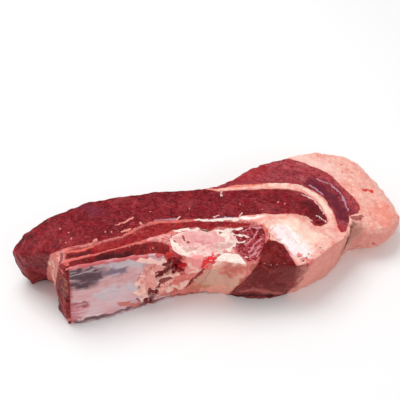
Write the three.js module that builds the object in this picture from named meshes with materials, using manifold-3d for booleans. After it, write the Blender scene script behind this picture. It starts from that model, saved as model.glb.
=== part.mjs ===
// Raw bone-in beef brisket: one sawn slice, lying on its lower cut face.
//
// The slice runs along X, from the rib end at -X to the breast fat at +X. -Y is the inside of the
// chest and +Y the outside of the animal. Z is the depth of the slice. The ribs fan out from the
// breastbone, so the slice is a wedge: deep at the rib end and shallow at the breast fat. Every
// muscle, fat layer and bone runs from the upper cut to the lower one, and each is a solid of its own.
// Units are millimetres.

import * as THREE from 'three';
import Module from 'manifold-3d';
import { mergeVertices } from 'three/addons/utils/BufferGeometryUtils.js';

const wasm = await Module();
wasm.setup();
const { Manifold, Mesh } = wasm;

// ---- Driving dimensions ----

const RIB_END_X = -159; // where the slice is RIB_END_DEPTH deep
const BREAST_X = 151; // where the slice is BREAST_DEPTH deep
const RIB_END_DEPTH = 64;
const BREAST_DEPTH = 34;
const GAP = 0.34; // between neighbouring pieces
const RIM_STEP = 9; // spacing of points along the rim
const STEP = 7; // the same along the outline of a layer
const CELL = 9; // spacing of the relief on a cut face

const DROOP = 20; // how far the free end of the deep muscle hangs down
const DROOP_FROM_X = -125;
const DROOP_RUN = 38;
const LEAN = 26; // how far the layers at the rib end slope back on the way down
const CHEST_LEAN = 11; // how far those round the breastbone do
const CAP_FALL = 7; // how far the fat cap slopes down towards its edge
const PLEURA = 3.2; // thickness of the membrane with its fat
const RIB_THICK = 10.5; // rib, across and up
const RIB_TALL = 23;

// ---- Outlines on the upper cut ----

// The rim of the slice, anticlockwise from above: x and y on the upper cut, x and y on the lower
// cut, and how far the upper edge is rounded off.
const RIM = [
  [-134, -41, -139, -43.5, 1], [-119, -40, -119, -45.5, 1], [-102, -39, -101, -45.5, 1],
  [-80, -38, -80, -42.5, 1], [-66, -38.5, -60, -40, 1], [-51, -42, -44, -38.5, 2],
  [-38, -47, -31, -39.5, 2], [-26, -53, -17, -41.5, 2], [-12, -55, -6, -46.5, 2],
  [0, -60, 4, -52.5, 2], [10, -62, 14, -57, 2], [32, -66, 35, -61.5, 2],
  [47, -71, 49, -61, 2.5], [60, -70, 64, -57.5, 2.5], [72, -62, 79, -51.5, 2],
  [84, -55, 91, -44.5, 2], [95, -49.5, 100, -37, 2], [103.5, -45, 106, -31, 2.5],
  [109, -37, 111, -26, 4], [118, -36, 121, -28, 7], [131, -39, 130, -30, 9],
  [144, -39, 139, -26, 11], [156, -34, 147, -18, 11], [165.5, -22, 154, -5, 11],
  [165.5, -3, 160, 12, 12], [163.5, 19, 161, 31, 12], [161, 43, 159, 51, 11],
  [156, 64, 153, 68, 10], [143, 75, 141, 78, 9], [120, 77, 119, 79, 6], [95, 71.5, 95, 75, 5],
  [75, 68, 75, 72, 4], [55, 62, 54, 68, 3], [39, 53, 37, 60, 3],
  [20, 44, 18, 52, 3], [0, 38.5, -3, 46, 3], [-20, 39, -22, 46, 3],
  [-40, 42, -42, 48, 3], [-62, 39.5, -64, 46, 3], [-84, 38.5, -86, 43, 3],
  [-105, 37.5, -107, 42, 3], [-129, 28, -129, 36, 4], [-149, 25.5, -144, 31, 5],
  [-161, 26, -157, 26, 4], [-175, 17.5, -163, 16.5, 3], [-166, 2, -161, 7, 2],
  [-154, -10, -150, 9.5, 2], [-145, -19, -142.5, 2, 3], [-141, -27, -142, -14, 2],
  [-138, -36, -143, -31, 1],
];

// Layers, each a closed outline on the upper cut. One that reaches the rim runs past it.
const DEEP_MUSCLE = [
  [-146, -18], [-135, -17.5], [-126, -16.4], [-115, -15.5], [-97, -12.7], [-85, -10.5],
  [-74, -4], [-63, 0.8], [-48, 2.4], [-31, 0], [-15, -1], [2, -3.3], [20, -4.6],
  [43, -5.5], [58, -7.8], [69, -10], [75.5, -14], [78, -22], [80.5, -28], [86, -26.5],
  [91, -24], [93.6, -12], [92.2, 0], [88, 9.5], [82, 17], [72, 22], [50, 26],
  [31, 28.3], [12, 31], [0, 36], [-12, 58], [-60, 72], [-120, 66], [-185, 55],
  [-200, 10], [-180, -14],
];
// From the back of the slice, round the end of the deep muscle, to a tip at the breast edge.
const OUTER_MUSCLE = [
  [-2, 42], [6, 36.5], [33, 36.2], [51, 34.2], [68, 32.6], [81, 28.6], [90, 23], [95.5, 16],
  [99.5, 6], [101.4, -6], [100.6, -19], [98.8, -30], [98.4, -37.5], [100.2, -40.5],
  [103.5, -37], [108, -30], [112, -22], [114, -13], [115.2, -4], [115, 6], [113, 16],
  [109.5, 25], [104, 34],
  [95, 42.5], [83, 49], [66, 56], [48, 66], [26, 72], [4, 62],
];
// The outer head of the same muscle, past the silvery seam.
const OUTER_HEAD = [
  [50, 60], [68, 51], [82, 46], [93, 39], [101, 32], [107, 24], [110, 15], [111.6, 6],
  [112, -4.5], [112, -15], [117, -19], [123, -17], [127, -9], [127.4, 1], [125, 10],
  [121.5, 21], [119, 31], [114, 40], [107, 48], [99, 57], [88, 64.5], [72, 70], [60, 80],
  [44, 80],
];
const STRIP_MUSCLE = [
  [-132, -28.5], [-131, -22.6], [-115.4, -19.7], [-98, -16.8], [-86, -14.4], [-75, -8.6],
  [-65, -4.2], [-50, -1.6], [-36, -3.2], [-21.5, -4.6], [-7.8, -5.6], [2, -8], [16, -12.6],
  [27, -15.6], [20, -17.2], [8, -16.6], [-4, -13.6], [-11, -15.6], [-21, -11.4],
  [-34.5, -10.8], [-49, -13.2], [-64, -16.8], [-80, -20.8], [-96, -24.6], [-111, -27.3],
];
const INTERCOSTAL_MUSCLE = [
  [-150, -35.6], [-123.5, -32.6], [-112, -30.6], [-100, -27.6], [-82.5, -24.4],
  [-71.4, -22], [-63, -21.6], [-55, -23], [-49.6, -27], [-48.6, -31.6], [-53, -37],
  [-60, -42], [-80, -44], [-100, -46], [-120, -47], [-150, -46],
];
const STERNUM_BONE = [
  [-46, -20], [-37, -16.4], [-28, -14.6], [-21, -14.8], [-16, -19.6], [-11, -18], [-2, -18],
  [3.4, -22], [6.4, -28], [5.6, -34], [0, -38.6], [-6, -42.4], [-16, -46.6], [-25, -46.6],
  [-34, -44.6], [-42, -41.6], [-46.4, -36], [-47, -28],
];
const MARBLED_MUSCLE = [
  [6, -19.6], [17, -18.6], [27, -18.6], [33, -19.6], [34.4, -25], [31.4, -37], [25.6, -48],
  [18.6, -56.6], [9, -57.2], [7.4, -50], [4, -42], [7.4, -35], [8.6, -27],
];
const MARBLED_MUSCLE_BELOW = [
  [4, -22], [13, -21], [21, -21], [27, -23], [27, -29], [20, -36], [12, -43],
  [5, -50], [-2, -53], [-4, -48], [-3, -42], [4, -35], [5, -28],
];
const DARK_MUSCLE = [
  [35, -37.6], [43.6, -41], [45.4, -48], [45, -58], [46.4, -66], [46, -80], [30, -80],
  [10, -74], [18, -63], [24, -53], [29, -44],
];
const TENDON = [
  [39, -27], [46, -22], [52.6, -24], [54.6, -36], [56.4, -49], [57, -57], [53, -62],
  [48.4, -60.5], [46.6, -56], [46.8, -48], [44.8, -40], [39.6, -35.6],
];
const DARK_MUSCLE_BELOW = [
  [20, -35], [33, -38], [40, -44], [43, -52], [45, -62], [44, -78], [24, -78], [-10, -74],
  [-3, -56], [3, -46], [11, -38],
];
const BREAST_CARTILAGE = [
  [-15, -50.6], [-6, -46.6], [4.4, -48.6], [7.4, -57.6], [12, -74], [0, -76], [-22, -72],
  [-20, -58],
];
const BREAST_CARTILAGE_BELOW = [
  [-27, -47], [-18, -44], [-9, -46], [-5, -56], [-4, -72], [-16, -74], [-36, -70], [-32, -56],
];
const TRIM_MEAT = [
  [-62, -40.6], [-57, -38], [-52.6, -33.4], [-49, -31.4], [-46, -37], [-41, -43.4], [-38, -47],
  [-37, -52], [-38, -70], [-62, -60],
];

// Lines that part the fat into its layers, as outlines of the ground that each layer keeps.
const CAP_GROUND = [
  [46, 96], [66, 68], [84, 62], [98, 55], [106, 47], [112, 40], [117.6, 31], [120, 21],
  [123.4, 10], [125.4, 1], [125, -9], [118, -13], [111, -15], [108, -24], [105, -34],
  [104, -60], [200, -60], [200, 96],
];
const CHEST_GROUND = [
  [-200, 24], [-160, -2], [-60, 10], [8, 2], [22, -11], [34, -17.4], [37, -25], [36, -36],
  [28, -47], [21, -59], [22, -90], [-200, -90],
];

// ---- Shapes shared by every layer ----

// Rises smoothly from 0 to 1 as t goes from one value to the other.
function ease(from, to, t) {
  return THREE.MathUtils.smoothstep((t - from) / (to - from), 0, 1);
}
const LID = 90; // height at which every outline is closed, clear of the upper cut

// Gentle undulation of a cut face, the same for every piece that it crosses.
function relief(x, y) {
  const slow = 0.7 * Math.sin(x / 17 + 1.2 * Math.sin(y / 19)) * Math.cos(y / 13 + x / 41);
  const quick = 0.45 * Math.sin(x / 6.1 + y / 9.3) * Math.sin(y / 5.3 - x / 23 + 1.7);
  return slow + quick;
}

// Height of the upper cut, before its relief.
function cutHeight(x, y) {
  const along = (x - RIB_END_X) / (BREAST_X - RIB_END_X);
  const hang = Math.max(0, (DROOP_FROM_X - x) / DROOP_RUN);
  const fall = CAP_FALL * ease(118, 172, x + 0.35 * Math.max(0, y - 10));
  const droop = DROOP * Math.min(hang * hang, 1.3);
  return THREE.MathUtils.lerp(RIB_END_DEPTH, BREAST_DEPTH, along) - droop - fall;
}

// A point of a layer at a share of the depth. Towards the lower cut the layers at the rib end and
// those round the breastbone lie further back, and everywhere they wander a little.
function place(x, y, share) {
  const down = 1 - share;
  const atRibEnd = ease(-70, -138, x) * ease(-44, -30, y) * (1 - 0.6 * ease(5, 45, y));
  const atBreastbone = ease(-75, -45, x) * (1 - ease(20, 45, x)) * (1 - ease(-32, 6, y));
  const wander = 1.6 * Math.sin(share * 4.1 + x / 29 + y / 37);
  return new THREE.Vector3(
    x + wander * down,
    y + (LEAN * atRibEnd + CHEST_LEAN * atBreastbone + 0.8 * wander) * down,
    share * cutHeight(x, y),
  );
}

// An outline for the lower cut, of a layer whose end near the viewer draws in on the way down.
function drawnIn(outline, from, share) {
  return outline.map(([x, y]) => [x, y < from ? from + (y - from) * share : y]);
}

// Pairs of points along a closed smooth outline: on the upper cut, and where each comes down to.
function pairs(upper, lower, step = STEP) {
  const [above, below] = [upper, lower].map((points) => new THREE.CatmullRomCurve3(
    points.map(([x, y, z = 0]) => new THREE.Vector3(x, y, z)), true, 'centripetal'));
  const count = Math.max(14, Math.round(above.getLength() / step));
  return Array.from({ length: count }, (unused, i) => {
    const t = above.getUtoTmapping(i / count);
    return [above.getPoint(t), below.getPoint(t)];
  });
}

// The outline moved outwards by a distance, its corners mitred.
function grown(outline, distance) {
  const turn = THREE.ShapeUtils.isClockWise(outline) ? -1 : 1;
  return outline.map((p, i) => {
    const before = p.clone().sub(outline.at(i - 1)).normalize();
    const after = outline[(i + 1) % outline.length].clone().sub(p).normalize();
    const along = before.clone().add(after).normalize();
    const reach = turn * distance / Math.max(along.dot(before), 0.35);
    return new THREE.Vector2(p.x + reach * along.y, p.y - reach * along.x);
  });
}

// A solid through rings of points, the lowest ring first, each with the same number of points.
function loft(rings) {
  const count = rings[0].length;
  const flat = rings[0].map((p) => new THREE.Vector2(p.x, p.y));
  const anticlockwise = !THREE.ShapeUtils.isClockWise(flat);
  const triangles = [];
  const add = (a, b, c) => triangles.push(...(anticlockwise ? [a, b, c] : [a, c, b]));
  for (let ring = 0; ring + 1 < rings.length; ring++) {
    for (let i = 0; i < count; i++) {
      const a = ring * count + i;
      const b = ring * count + (i + 1) % count;
      add(a, b, b + count);
      add(a, b + count, a + count);
    }
  }
  const top = (rings.length - 1) * count;
  for (const [a, b, c] of THREE.ShapeUtils.triangulateShape(flat, [])) {
    const up = THREE.ShapeUtils.area([flat[a], flat[b], flat[c]]) > 0 === anticlockwise;
    add(...(up ? [a, c, b] : [a, b, c]));
    add(...(up ? [top + a, top + b, top + c] : [top + a, top + c, top + b]));
  }
  return new Manifold(new Mesh({
    numProp: 3,
    vertProperties: new Float32Array(rings.flat().flatMap((p) => [p.x, p.y, p.z])),
    triVerts: new Uint32Array(triangles),
  }));
}

// A layer, running out past both cuts unless it has a floor at some share of the depth.
function layer(upper, lower, grow, floor) {
  const outline = pairs(upper, lower);
  const levels = [-0.12, 0.3, 0.7, 1.12].filter((share) => share > floor);
  const rings = [floor - grow / 40, ...levels].map((share) => {
    const t = THREE.MathUtils.clamp(share, 0, 1);
    const ring = outline.map(([above, below]) => new THREE.Vector2(
      THREE.MathUtils.lerp(below.x, above.x, t), THREE.MathUtils.lerp(below.y, above.y, t)));
    return grown(ring, grow).map((p) => place(p.x, p.y, share));
  });
  const lid = rings.at(-1).map((p) => p.clone().setZ(LID));
  return loft([...rings, lid]);
}

// ---- The whole slice ----

// The side of the slice. Its rounding is a share of the rim's own, at each depth.
function side() {
  const outline = pairs(
    RIM.map(([x, y]) => [x, y]), RIM.map(([, , x, y, round]) => [x, y, round]), RIM_STEP);
  const rings = [
    [-0.1, 0.6], [0, 0.6], [0.1, 0.15], [0.3, -0.35], [0.55, -0.4], [0.78, 0], [0.92, 0.45],
    [1, 1], [1.14, 1.3],
  ].map(([share, rounding]) => {
    const t = THREE.MathUtils.clamp(share, 0, 1);
    const line = outline.map(([above, below]) => new THREE.Vector2(
      THREE.MathUtils.lerp(below.x, above.x, t), THREE.MathUtils.lerp(below.y, above.y, t)));
    const outward = grown(line, 1);
    return line.map((p, i) => {
      const swell = 0.9 * Math.sin(p.x / 11 + share * 5) * Math.sin(p.y / 13 - share * 4);
      p.lerp(outward[i], swell - rounding * outline[i][1].z);
      return new THREE.Vector3(p.x, p.y, share * cutHeight(p.x, p.y));
    });
  });
  const lid = rings.at(-1).map((p) => p.clone().setZ(LID));
  return loft([...rings, lid]);
}

// Everything between the lower cut, which is flat, and the upper cut with its relief.
function betweenCuts() {
  const columns = Math.ceil(380 / CELL);
  const rows = Math.ceil(170 / CELL);
  const points = [];
  for (const upper of [false, true]) {
    for (let row = 0; row <= rows; row++) {
      for (let column = 0; column <= columns; column++) {
        const x = -190 + column * CELL + (row % 2) * CELL / 2;
        const y = -85 + row * CELL;
        points.push(x, y, upper ? cutHeight(x, y) + relief(x, y) : 0);
      }
    }
  }
  const across = columns + 1;
  const sheet = across * (rows + 1);
  const triangles = [];
  const quad = (a, b, c, d) => triangles.push(a, b, c, a, c, d);
  for (let row = 0; row < rows; row++) {
    for (let column = 0; column < columns; column++) {
      const a = row * across + column;
      quad(sheet + a, sheet + a + 1, sheet + a + across + 1, sheet + a + across);
      quad(a, a + across, a + across + 1, a + 1);
    }
  }
  for (let column = 0; column < columns; column++) {
    const back = rows * across + column;
    quad(column, column + 1, sheet + column + 1, sheet + column);
    quad(back + 1, back, sheet + back, sheet + back + 1);
  }
  for (let row = 0; row < rows; row++) {
    const left = row * across;
    const right = left + columns;
    quad(left + across, left, sheet + left, sheet + left + across);
    quad(right, right + across, sheet + right + across, sheet + right);
  }
  return new Manifold(new Mesh({
    numProp: 3, vertProperties: new Float32Array(points), triVerts: new Uint32Array(triangles),
  }));
}

// ---- Pieces ----

// The rib lies inside the chest wall, and its sawn end shows at the rib end.
function rib(grow = 0) {
  const sides = 14;
  const stations = [-150, -126, -100, -74, -56];
  const rings = stations.map((x, station) => {
    const taper = 1 - 0.12 * station / stations.length;
    const ring = [];
    for (let i = 0; i < sides; i++) {
      const angle = 2 * Math.PI * i / sides;
      const across = (RIB_THICK / 2 + grow) * taper * Math.cos(angle);
      const up = (RIB_TALL / 2 + grow) * taper * Math.sin(angle);
      ring.push(new THREE.Vector3(x, -38.5 + across, 39 - 0.06 * (x + 130) + up));
    }
    return ring;
  });
  return loftAlongX(rings);
}

// The same as loft, for rings that stand across X.
function loftAlongX(rings) {
  const turned = rings.map((ring) => ring.map((p) => new THREE.Vector3(p.y, p.z, p.x)));
  const mesh = loft(turned).getMesh();
  const points = mesh.vertProperties.slice();
  for (let i = 0; i < points.length; i += 3) {
    [points[i], points[i + 1], points[i + 2]] = [points[i + 2], points[i], points[i + 1]];
  }
  return new Manifold(new Mesh({ numProp: 3, vertProperties: points, triVerts: mesh.triVerts }));
}

// The membrane and its fat over the inside of the chest wall: the skin of the slice there.
function pleura(grow = 0) {
  const wall = [
    [-132 - grow, -41, -136 - grow, -45], ...RIM.slice(1, 5), [-56 + grow, -41, -50 + grow, -40],
  ];
  return loft([-0.1, 0, 0.5, 1, 1.1].map((share) => {
    const inner = wall.map(([x, y, lowerX, lowerY]) => new THREE.Vector3(
      THREE.MathUtils.lerp(lowerX, x, share),
      THREE.MathUtils.lerp(lowerY, y, share) + PLEURA + grow,
      share * cutHeight(x, y),
    ));
    const outer = inner.map((p) => p.clone().setY(-65)).reverse();
    return [...inner, ...outer];
  }));
}

// A fold of loose fat on the wall, a lumpy ellipsoid half sunk into it.
function fold(centre, size, grow = 0) {
  const icosahedron = new THREE.IcosahedronGeometry(1, 3);
  const ball = mergeVertices(icosahedron.deleteAttribute('normal').deleteAttribute('uv'));
  const points = ball.getAttribute('position');
  const p = new THREE.Vector3();
  for (let i = 0; i < points.count; i++) {
    p.fromBufferAttribute(points, i);
    const lump = 1 + 0.16 * Math.sin(4 * p.x + 3 * p.z) * Math.cos(3 * p.z - 2 * p.x + 1);
    p.multiplyScalar(lump).multiply(new THREE.Vector3(...size).addScalar(grow));
    points.setXYZ(i, p.x + centre[0] + 0.25 * p.z, p.y + centre[1], p.z + centre[2]);
  }
  return new Manifold(new Mesh({
    numProp: 3, vertProperties: points.array, triVerts: new Uint32Array(ball.index.array),
  }));
}

// Largest body of a solid, with its loose scraps and tiny faces gone.
function whole(solid) {
  const bodies = solid.simplify(0.05).decompose().sort((a, b) => b.volume() - a.volume());
  return bodies[0];
}

const foldedFat = (grow) => fold([-63, -39, 29], [17, 4.5, 18], grow);
const slice = betweenCuts().intersect(side()).add(foldedFat(0));
const taken = [];
const pieces = {};

// Each piece is its own shape where no earlier piece, with a gap round it, has taken the ground.
function cut(name, shape) {
  const free = taken.reduce((left, other) => left.subtract(other), slice.intersect(shape(0)));
  pieces[name] = whole(free);
  taken.push(shape(GAP));
}
function cutLayer(name, upper, lower = upper, floor = -0.4) {
  cut(name, (grow) => layer(upper, lower, grow, floor));
}

cut('fat_fold', foldedFat);
cut('pleura', pleura);
cut('rib_bone', rib);
cutLayer('sternum_bone', STERNUM_BONE);
cutLayer('breast_cartilage', BREAST_CARTILAGE, BREAST_CARTILAGE_BELOW);
cutLayer('tendon', TENDON, drawnIn(TENDON, -36, 0.6));
cutLayer('deep_muscle', DEEP_MUSCLE);
cutLayer('outer_muscle', OUTER_MUSCLE, drawnIn(OUTER_MUSCLE, -18, 0.45));
cutLayer('outer_head', OUTER_HEAD);
cutLayer('strip_muscle', STRIP_MUSCLE);
cutLayer('intercostal_muscle', INTERCOSTAL_MUSCLE);
cutLayer('marbled_muscle', MARBLED_MUSCLE, MARBLED_MUSCLE_BELOW);
cutLayer('dark_muscle', DARK_MUSCLE, DARK_MUSCLE_BELOW);
cutLayer('trim_meat', TRIM_MEAT, TRIM_MEAT, 0.6);
cutLayer('fat_cap', CAP_GROUND);
cutLayer('chest_fat', CHEST_GROUND);
cut('seam_fat', () => slice);

// ---- The scene graph ----

const LOOKS = {
  fat_fold: [0xe8a79a, 0.45],
  pleura: [0xa98f96, 0.3],
  rib_bone: [0xc9a79a, 0.55],
  sternum_bone: [0xf2d3cb, 0.5],
  breast_cartilage: [0xf3e3d6, 0.4],
  tendon: [0xf4e2de, 0.35],
  deep_muscle: [0x7c2630, 0.4],
  outer_muscle: [0x8a3942, 0.4],
  outer_head: [0x9c3f42, 0.4],
  strip_muscle: [0x962a31, 0.4],
  intercostal_muscle: [0x701c22, 0.4],
  marbled_muscle: [0x84323c, 0.4],
  dark_muscle: [0x6b1c1e, 0.4],
  trim_meat: [0x7e2022, 0.4],
  fat_cap: [0xf6c3b2, 0.5],
  chest_fat: [0xe59c90, 0.5],
  seam_fat: [0xf9d6c2, 0.5],
};

function meshOf(name, solid) {
  const { vertProperties, triVerts } = solid.getMesh();
  const geometry = new THREE.BufferGeometry();
  geometry.setAttribute('position', new THREE.BufferAttribute(vertProperties, 3));
  geometry.setIndex(new THREE.BufferAttribute(triVerts, 1));
  const [color, roughness] = LOOKS[name];
  const mesh = new THREE.Mesh(mergeVertices(geometry),
    new THREE.MeshStandardMaterial({ color, roughness, metalness: 0 }));
  mesh.name = name;
  return mesh;
}

const brisket = new THREE.Group();
for (const [name, solid] of Object.entries(pieces)) {
  brisket.add(meshOf(name, solid));
}
const extent = new THREE.Box3().setFromObject(brisket);
const centre = extent.getCenter(new THREE.Vector3());
brisket.position.set(-centre.x, -centre.y, -extent.min.z);

export default brisket;
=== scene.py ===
import bmesh
import bpy
import numpy as np
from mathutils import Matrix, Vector
from mathutils.bvhtree import BVHTree


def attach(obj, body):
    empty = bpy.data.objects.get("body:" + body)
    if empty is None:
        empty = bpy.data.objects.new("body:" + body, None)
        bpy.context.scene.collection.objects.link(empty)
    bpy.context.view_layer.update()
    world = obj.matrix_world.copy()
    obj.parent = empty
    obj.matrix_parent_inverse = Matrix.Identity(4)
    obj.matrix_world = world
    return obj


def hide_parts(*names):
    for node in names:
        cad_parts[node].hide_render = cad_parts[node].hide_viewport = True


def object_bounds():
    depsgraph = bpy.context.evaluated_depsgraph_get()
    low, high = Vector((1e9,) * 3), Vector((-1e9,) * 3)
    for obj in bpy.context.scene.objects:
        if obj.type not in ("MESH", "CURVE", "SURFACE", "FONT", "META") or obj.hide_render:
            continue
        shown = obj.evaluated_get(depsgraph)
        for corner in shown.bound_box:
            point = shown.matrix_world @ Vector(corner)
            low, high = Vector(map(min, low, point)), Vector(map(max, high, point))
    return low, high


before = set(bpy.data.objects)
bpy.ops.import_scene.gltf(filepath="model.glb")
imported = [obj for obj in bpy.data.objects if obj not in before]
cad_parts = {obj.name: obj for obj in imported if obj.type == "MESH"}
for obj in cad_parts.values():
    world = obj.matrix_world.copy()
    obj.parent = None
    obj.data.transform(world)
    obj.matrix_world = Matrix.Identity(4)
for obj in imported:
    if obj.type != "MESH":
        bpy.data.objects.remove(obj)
solid_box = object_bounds()

# ---- The table, the lamps and the camera ----
# A plain pale table under one wide soft lamp, with a weaker one in front for the near wall.
# The camera stands at the photograph's angle, 42 degrees above the table and turned by 15.5.
scene = bpy.context.scene
scene.view_settings.view_transform = "Standard"

world = bpy.data.worlds.new("room")
world.use_nodes = True
world.node_tree.nodes["Background"].inputs["Color"].default_value = (1.0, 1.0, 1.0, 1.0)
world.node_tree.nodes["Background"].inputs["Strength"].default_value = 0.55
scene.world = world


def lamp(name, place, aim, size, power):
    """A square soft lamp at a place, turned to its aim, in metres."""
    light = bpy.data.lights.new(name, "AREA")
    light.size, light.energy = size, power
    holder = bpy.data.objects.new(name, light)
    holder.location = place
    holder.rotation_euler = (Vector(aim) - Vector(place)).to_track_quat("-Z", "Y").to_euler()
    scene.collection.objects.link(holder)


lamp("lamp_above", (-0.35, 0.45, 1.30), (0.0, 0.0, 0.03), 0.9, 12.0)
lamp("lamp_front", (0.45, -1.30, 0.75), (0.0, 0.0, 0.03), 0.8, 4.2)

table_mesh = bpy.data.meshes.new("table")
table_bm = bmesh.new()
bmesh.ops.create_grid(table_bm, x_segments=1, y_segments=1, size=3.0)
table_bm.to_mesh(table_mesh)
table_bm.free()
table = bpy.data.objects.new("table", table_mesh)
scene.collection.objects.link(table)
table_look = bpy.data.materials.new("table_white")
table_look.use_nodes = True
table_shader = table_look.node_tree.nodes["Principled BSDF"]
table_shader.inputs["Base Color"].default_value = (0.94, 0.94, 0.94, 1.0)
table_shader.inputs["Roughness"].default_value = 0.8
table_mesh.materials.append(table_look)

height, turn, distance = np.radians(42), np.radians(15.5), 0.81
aim = Vector((-0.007436, 0.015180, 0.050))
back = Vector((-np.cos(height) * np.sin(turn), -np.cos(height) * np.cos(turn), np.sin(height)))
camera = bpy.data.objects.new("camera", bpy.data.cameras.new("camera"))
camera.data.lens, camera.data.sensor_width = 85, 36
camera.location = aim + distance * back
camera.rotation_euler = (-back).to_track_quat("-Z", "Y").to_euler()
scene.collection.objects.link(camera)
scene.camera = camera

# ---- The deep muscle ----
# The long dark muscle along the back, joined to the other layers by fat. Its free left end hangs
# down to the table. The cut face is wet and mottled, with short pale strands, and ends at the
# right in a thin tip.
FAT = ("fat_cap", "chest_fat", "seam_fat", "fat_fold")
LEAN = ("deep_muscle", "outer_muscle", "outer_head", "strip_muscle", "intercostal_muscle",
        "marbled_muscle", "dark_muscle", "trim_meat")
LOW, HIGH = (np.array(corner) * 1000 for corner in solid_box)
FAR = 6.0  # no distance between pieces is measured past this, in mm
search_trees = {}


def srgb(*screen):
    """A colour as a screen shows it, 0 to 255, on the shader's scale."""
    tone = np.array(screen, float) / 255
    return (*np.where(tone > 0.04045, ((tone + 0.055) / 1.055) ** 2.4, tone / 12.92), 1.0)


def soft(value, low, high):
    """0 up to low, 1 from high on, and a smooth slope between. low may be the larger."""
    share = np.clip((value - low) / (high - low), 0, 1)
    return share * share * (3 - 2 * share)


def waves(points, size, seed):
    """Smooth noise from -1 to 1 with lumps of about that size in mm. Each corner of a grid gets a
    random height from its place and the seed, and the points between them blend the eight."""
    grid = points / size + seed * 11.37
    cell = np.floor(grid).astype(np.int64)
    blend = soft(grid - cell, 0, 1)
    total = np.zeros(len(points))
    for corner in range(8):
        step = np.array([corner & 1, corner >> 1 & 1, corner >> 2])
        x, y, z = (cell + step).T
        height = (x * 73856093) ^ (y * 19349663) ^ (z * 83492791) ^ (seed * 1274126177)
        height = ((height ^ (height >> 13)) * 668265263) & 0xFFFFFFFF
        height = ((height ^ (height >> 15)) * 2246822519) & 0xFFFFFFFF
        share = np.prod(np.where(step, blend, 1 - blend), axis=1)
        total += ((height >> 8) / 0xFFFFFF * 2 - 1) * share
    return total


def search_tree(nodes):
    """A search tree over the surfaces of some frame nodes, in mm, made once for all pieces."""
    if nodes not in search_trees:
        corners, faces = [], []
        for node in nodes:
            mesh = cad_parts[node].data
            first = len(corners)
            corners += [v.co * 1000 for v in mesh.vertices]
            faces += [[first + i for i in p.vertices] for p in mesh.polygons]
        search_trees[nodes] = BVHTree.FromPolygons(corners, faces)
    return search_trees[nodes]


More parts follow.
